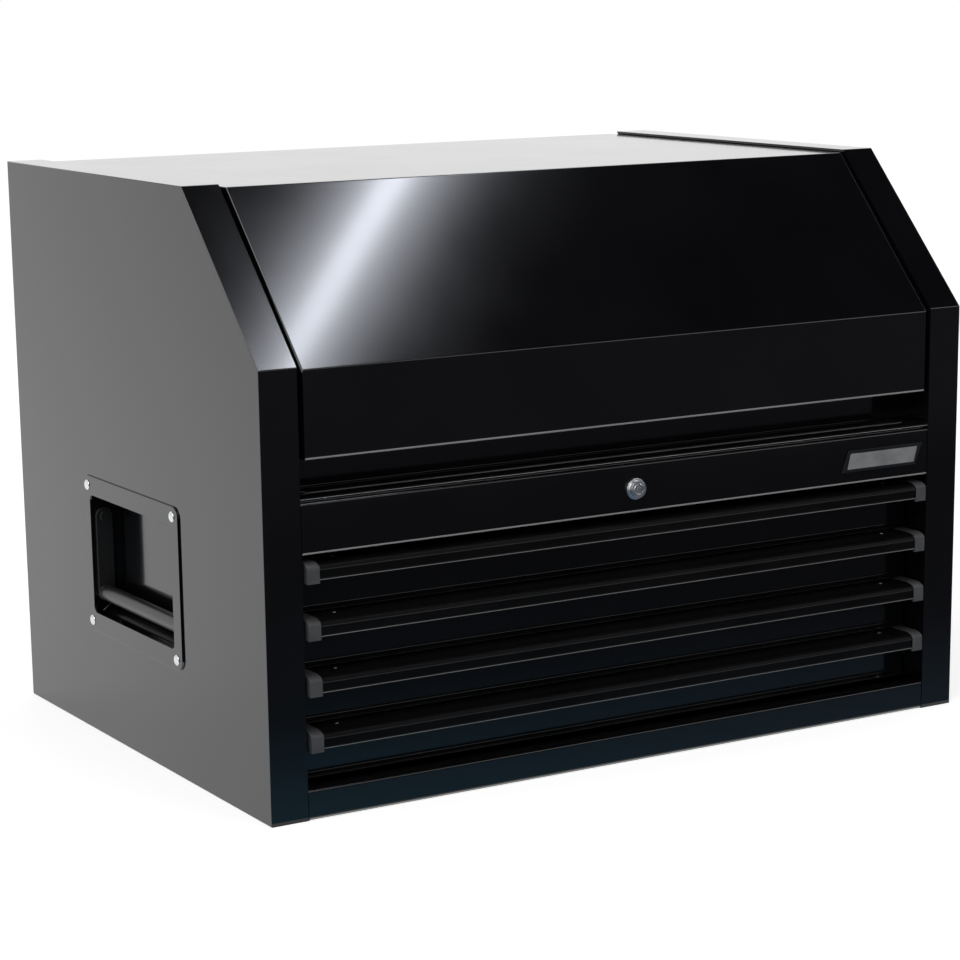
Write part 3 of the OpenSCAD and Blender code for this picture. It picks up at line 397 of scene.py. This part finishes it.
def ribbed_mat(node):
    """A mat with ribs along X, in the box of the CAD node."""
    lo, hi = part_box(node)
    bm = bmesh.new()
    count = int((hi.y - lo.y) / (RIB_PITCH * MM))
    step = (hi.y - lo.y) / count
    low = hi.z - RIB_DEPTH * MM
    profile = [(lo.y, lo.z), (lo.y, low)]
    for i in range(count):
        y = lo.y + i * step
        profile += [(y + RISE_FROM * step, low), (y + RISE_TO * step, hi.z),
                    (y + FALL_FROM * step, hi.z), (y + FALL_TO * step, low)]
    profile += [(hi.y, low), (hi.y, lo.z)]
    left, right = ([bm.verts.new((x, y, z)) for y, z in profile] for x in (lo.x, hi.x))
    for i in range(len(profile)):
        j = (i + 1) % len(profile)
        bm.faces.new((left[i], right[i], right[j], left[j]))
    bm.faces.new(left[::-1])
    bm.faces.new(right)
    bmesh.ops.recalc_face_normals(bm, faces=bm.faces)
    obj = piece(node + ".finish", bm, RUBBER, BODY_OF[node])
    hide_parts(node)
    return obj


def is_mat(node):
    return node == "till_mat" or node.startswith("drawer_mat")


for name in sorted(NODES):
    if not is_mat(name):
        dress(name)
for name in sorted(NODES):
    if is_mat(name):
        ribbed_mat(name)


# ------------------------------------------------------------------ small details

# A head's sides, the steps of its dome (degrees) and how far it goes into its face (mm)
HEAD_SIDES = 24
DOME_STEP = 15
HEAD_SUNK = 0.2


def turned(bm, profile, centre, axis, sides):
    """Adds a solid turned from (radius, distance along axis) points that start and end on it."""
    axis = Vector(axis).normalized()
    side = axis.orthogonal().normalized()
    up = axis.cross(side)
    centre = Vector(centre)
    rings = []
    for r, d in profile:
        if r == 0:
            rings.append([bm.verts.new(centre + axis * d)])
            continue
        rings.append([
            bm.verts.new(centre + axis * d + (side * math.cos(t) + up * math.sin(t)) * r)
            for t in (2 * math.pi * k / sides for k in range(sides))
        ])
    for a, b in zip(rings, rings[1:]):
        for k in range(sides):
            j = (k + 1) % sides
            # A ring of one vertex, on the axis, makes triangles
            quad = [a[k % len(a)], a[j % len(a)], b[j % len(b)], b[k % len(b)]]
            bm.faces.new(list(dict.fromkeys(quad)))


def dome(bm, centre, axis, radius, height):
    """A low domed head standing on a face at centre."""
    foot = -HEAD_SUNK * MM
    angles = [math.radians(t) for t in range(0, 90, DOME_STEP)]
    cap = [(radius * math.cos(a), height * math.sin(a)) for a in angles]
    turned(bm, [(0, foot), (radius, foot), *cap, (0, height)], centre, axis, HEAD_SIDES)


def heads(name, places, axis, radius, height, mat, body):
    """Domed heads of one kind at several places; all lengths in mm."""
    bm = bmesh.new()
    for place in places:
        dome(bm, Vector(place) * MM, axis, radius * MM, height * MM)
    bmesh.ops.recalc_face_normals(bm, faces=bm.faces)
    return smooth(piece(name, bm, mat, body))


FORWARD, BACKWARD, UPWARD = (0, -1, 0), (0, 1, 0), (0, 0, 1)

# The ledge's screws stand on its front, behind the till floor's foremost edge (mm)
LEDGE_SET_BACK = 5.4
LEDGE_SCREW_XS, LEDGE_SCREW_Z = (-283, 281.5), 253.9
ledge_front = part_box("till_floor")[0].y / MM + LEDGE_SET_BACK
heads("ledge_screws", [(x, ledge_front, LEDGE_SCREW_Z) for x in LEDGE_SCREW_XS], FORWARD,
      1.2, 0.8, ZINC, "chest")

PULL_SCREW_XS, PULL_SCREW_Y = (-272, 272), -227
for k in DRAWER_NUMBERS:
    pull_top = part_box(f"pull_{k}")[1].z / MM
    heads(f"pull_screws_{k}", [(x, PULL_SCREW_Y, pull_top) for x in PULL_SCREW_XS], UPWARD,
          1.7, 0.7, ZINC, BODY_OF[f"pull_{k}"])

# The hinge's leaf lies on the back panel, with a row of rivets along it (mm)
LEAF = 1.2
HINGE_RIVET_XS, HINGE_RIVET_Z = range(-280, 281, 70), 459
BACK_RIVET_XS, BACK_RIVET_ZS = (-331, 331), (24, 130, 236, 342, 448)
back_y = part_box("back_panel")[1].y / MM
heads("hinge_rivets", [(x, back_y + LEAF, HINGE_RIVET_Z) for x in HINGE_RIVET_XS], BACKWARD,
      3.2, 1.1, ZINC, "chest")
heads("back_rivets", [(x, back_y, z) for x in BACK_RIVET_XS for z in BACK_RIVET_ZS], BACKWARD,
      2.6, 0.9, PAINT, "chest")

# The badge's rim and the lean of its ends (mm)
BADGE_EDGE = 2.6
BADGE_LEAN = 7.4
# What the rim is wider by at the field's lower left and upper right corners (mm)
BADGE_LOW_LEFT, BADGE_UP_RIGHT = 2.2, 2.0
# How far the field stands out of the plate, goes into it, and the radius of its edges (mm)
FIELD_PROUD, FIELD_SUNK, FIELD_EDGE = 0.25, 0.2, 0.12


def badge_field():
    """The plain silver field on the badge plate."""
    lo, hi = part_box("badge_plate")
    x0, x1, z0, z1 = lo.x / MM, hi.x / MM, lo.z / MM, hi.z / MM
    rim, lean = BADGE_EDGE, BADGE_LEAN
    shift = lean / (z1 - z0) * rim
    corners = [(x0 + rim + shift + BADGE_LOW_LEFT, z0 + rim), (x1 - lean - rim + shift, z0 + rim),
               (x1 - rim - shift - BADGE_UP_RIGHT, z1 - rim), (x0 + lean + rim - shift, z1 - rim)]
    bm = bmesh.new()
    face, back = ([bm.verts.new((x * MM, y, z * MM)) for x, z in corners]
                  for y in (lo.y - FIELD_PROUD * MM, lo.y + FIELD_SUNK * MM))
    bm.faces.new(face)
    bm.faces.new(back[::-1])
    for i in range(len(corners)):
        j = (i + 1) % len(corners)
        bm.faces.new((face[i], face[j], back[j], back[i]))
    bmesh.ops.recalc_face_normals(bm, faces=bm.faces)
    return smooth(piece("badge_field", bm, BADGE_FIELD, "chest"), FIELD_EDGE)


badge_field()


# ------------------------------------------------------------------ studio

def placed(location, x, y, z):
    """The matrix of an object at location whose axes point along x, y and z."""
    return Matrix.Translation(location) @ Matrix((x, y, z)).transposed().to_4x4()


def light_path(tree):
    """1 for camera, glossy and transmission rays."""
    path = tree.nodes.new("ShaderNodeLightPath")
    total = path.outputs["Is Camera Ray"]
    for key in ("Is Glossy Ray", "Is Transmission Ray"):
        total = maths(tree, "MAXIMUM", total, path.outputs[key])
    return total


def plane(name, size, location, across=(1, 0, 0), along=(0, 1, 0)):
    """A flat stage piece with its width across and its height along."""
    across, along = Vector(across).normalized(), Vector(along).normalized()
    bm = bmesh.new()
    bm.faces.new([bm.verts.new((sx * size[0] / 2, sy * size[1] / 2, 0))
                  for sx, sy in ((-1, -1), (1, -1), (1, 1), (-1, 1))])
    obj = to_object(name, bm)
    obj.matrix_world = placed(location, across, along, across.cross(along))
    return obj


# The floor's width (m), its grey, and what it adds for the eye and for reflections
FLOOR_SIZE = 80
FLOOR_GREY = (0.8, 0.8, 0.8, 1)
FLOOR_GLOW = 0.52


def floor():
    """A matt pale floor that keeps the chest's shadow."""
    obj = plane("floor", (FLOOR_SIZE, FLOOR_SIZE), (0, 0, 0))
    mat = bpy.data.materials.new("floor")
    tree, shader = nodes_of(mat)
    shader.inputs["Base Color"].default_value = FLOOR_GREY
    shader.inputs["Roughness"].default_value = 1.0
    shader.inputs["Specular IOR Level"].default_value = 0.0
    shader.inputs["Emission Color"].default_value = (*WHITE, 1)
    tree.links.new(maths(tree, "MULTIPLY", light_path(tree), FLOOR_GLOW),
                   shader.inputs["Emission Strength"])
    obj.data.materials.append(mat)


def mirrored_glow(obj):
    """Makes a stage piece shine in reflections alone.

    Returns its node tree, its own coordinates in metres and its emission node.
    """
    mat = bpy.data.materials.new(obj.name)
    mat.use_nodes = True
    tree = mat.node_tree
    tree.nodes.clear()
    out = tree.nodes.new("ShaderNodeOutputMaterial")
    emit = tree.nodes.new("ShaderNodeEmission")
    tree.links.new(emit.outputs[0], out.inputs["Surface"])
    coord = tree.nodes.new("ShaderNodeTexCoord")
    obj.data.materials.append(mat)
    obj.visible_camera = False
    obj.visible_diffuse = False
    obj.visible_shadow = False
    obj.visible_transmission = False
    obj.visible_volume_scatter = False
    return tree, split_xyz(tree, coord.outputs["Object"]), emit


# Where a card's left tones are full and where they end, in the chest's X (m)
LEFT_FULL, LEFT_END = -0.45, 0.55


def card(name, size, location, stops, reach=1.0, along=(0, 1, 0), left=None):
    """A card that glows in reflections alone, as a painted reflection of a dark studio. Its tone
    runs from its upper edge over reach metres.

    left is the tones that it has instead towards its left side.
    """
    obj = plane(name, size, location, along=along)
    tree, place, emit = mirrored_glow(obj)
    top = size[1] / 2
    fac = remap(tree, place["Y"], 0, 1, top, top - reach)
    colour = ramp(tree, fac, stops)
    if left:
        leftness = remap(tree, place["X"], 1, 0, LEFT_FULL - location[0], LEFT_END - location[0])
        colour = blend(tree, leftness, colour, ramp(tree, fac, left))
    tree.links.new(colour, emit.inputs["Color"])


def area(name, size, power, location, target):
    """A soft box at location, facing target, with its second side upright."""
    data = bpy.data.lights.new(name, "AREA")
    data.shape = "RECTANGLE"
    data.size, data.size_y = size
    data.energy = power
    obj = bpy.data.objects.new(name, data)
    back = (Vector(location) - Vector(target)).normalized()
    across = Vector(UPWARD).cross(back).normalized()
    obj.matrix_world = placed(location, across, back.cross(across), back)
    obj.visible_camera = False
    bpy.context.scene.collection.objects.link(obj)


# The strip's directions, its half width, length, place along them and height (m)
STRIP_ACROSS, STRIP_ALONG = Vector((0.8236, -0.567, 0)), Vector((0.567, 0.8236, 0))
STRIP_HALF, STRIP_LENGTH = 0.32, 0.9
STRIP_AT, STRIP_HEIGHT = (0.955, 0.045), 2.36
# Its glow, the painted highlight's profile, by the distance from its middle line (m)
STRIP_PROFILE = [(0, 1), (0.016, 1), (0.03, 0.42), (0.05, 0.25), (0.08, 0.14), (0.12, 0.055),
                 (0.16, 0.018), (0.21, 0.005), (0.32, 0)]
STRIP_TINT = (0.87, 0.905, 1.0)
STRIP_STRENGTH = 26


def painted_highlight_strip():
    """A long sheet under the ceiling that glows with a hot middle in reflections alone, so the
    lid's slope shows it as a painted highlight.
    """
    middle = STRIP_ACROSS * STRIP_AT[0] + STRIP_ALONG * STRIP_AT[1]
    obj = plane("painted_highlight_strip", (2 * STRIP_HALF, STRIP_LENGTH), (middle.x, middle.y, STRIP_HEIGHT),
                STRIP_ACROSS, STRIP_ALONG)
    tree, place, emit = mirrored_glow(obj)
    off = remap(tree, maths(tree, "ABSOLUTE", place["X"]), 0, 1, 0, STRIP_HALF)
    stops = [(x / STRIP_HALF, tuple(tint * level for tint in STRIP_TINT))
             for x, level in STRIP_PROFILE]
    tree.links.new(ramp(tree, off, stops), emit.inputs["Color"])
    emit.inputs["Strength"].default_value = STRIP_STRENGTH


# The world's level on the chest, and for the eye and for reflections
WORLD_LEVEL, WORLD_SEEN = 0.6, 1.0
# The cards' glow, which the paint mirrors as painted reflections, from the upper edge (0) to the
# end of the reach (1)
FRONT_TONES = [(0, (0.13, 0.18, 0.24)), (0.12, (0.06, 0.065, 0.08)),
               (0.42, (0.05, 0.05, 0.06)), (0.6, (0.1, 0.1, 0.12))]
FRONT_LEFT_TONES = [(0, (0.14, 0.36, 0.52)), (0.12, (0.07, 0.105, 0.14)),
                    (0.3, (0.05, 0.06, 0.072)), (0.6, (0.1, 0.1, 0.12))]
DARK_TONES = [(0, (0.02, 0.02, 0.026)), (1, (0.02, 0.02, 0.026))]
# What the lamps face (m)
LAMP_TARGET = (0, 0, 0.2)


def studio():
    """The world, the floor, the cards that the paint mirrors as painted reflections, the lamps,
    and the strip that it mirrors as a painted highlight.
    """
    world = bpy.data.worlds.new("studio")
    bpy.context.scene.world = world
    world.use_nodes = True
    tree = world.node_tree
    back = tree.nodes["Background"]
    back.inputs["Color"].default_value = (*WHITE, 1)
    level = remap(tree, light_path(tree), WORLD_LEVEL, WORLD_SEEN, 0, 1)
    tree.links.new(level, back.inputs["Strength"])
    floor()
    # Painted reflections of a dark studio, in cards seen in reflections alone: the floor in
    # front, the wall beyond it and the ceiling
    card("front_card", (9, 5), (1.2, -2.747, 0.002), FRONT_TONES, 2.2, left=FRONT_LEFT_TONES)
    card("wall_card", (9, 3.3), (1.2, -5.3, 1.6), DARK_TONES, along=(0, 0, 1))
    card("ceiling_card", (7, 6.6), (2.2, -2.0, 3.2), DARK_TONES)
    area("key", (2.2, 2.2), 45, (-2.4, -1.6, 3.0), LAMP_TARGET)
    area("fill", (2.4, 1.6), 20, (2.3, -2.7, 2.3), LAMP_TARGET)
    painted_highlight_strip()


# The camera's place (mm), its turn from the Y axis, its tilt down and its roll (degrees)
CAMERA_AT = Vector((-1254.9, -2105.3, 653.6))
AZIMUTH, PITCH, ROLL = (math.radians(angle) for angle in (30.718, 12.913, -0.709))
# Its sensor and lens (mm), its shift as a share of the sensor, and its near clip (m)
SENSOR, LENS = 36, 104.31
SHIFT_UP = 0.125
NEAR_CLIP = 0.05


def camera():
    """The photograph's camera, worked out from the chest's straight edges."""
    data = bpy.data.cameras.new("camera")
    cam = bpy.data.objects.new("camera", data)
    ahead = Vector((math.sin(AZIMUTH) * math.cos(PITCH), math.cos(AZIMUTH) * math.cos(PITCH),
                    -math.sin(PITCH)))
    right = Vector((math.cos(AZIMUTH), -math.sin(AZIMUTH), 0))
    up = right.cross(ahead)
    across = right * math.cos(ROLL) + up * math.sin(ROLL)
    above = up * math.cos(ROLL) - right * math.sin(ROLL)
    cam.matrix_world = placed(CAMERA_AT * MM, across, above, -ahead)
    data.sensor_width = SENSOR
    data.lens = LENS
    data.shift_y = SHIFT_UP
    data.clip_start = NEAR_CLIP
    bpy.context.scene.collection.objects.link(cam)
    bpy.context.scene.camera = cam


studio()
camera()
bpy.context.scene.view_settings.view_transform = "Standard"
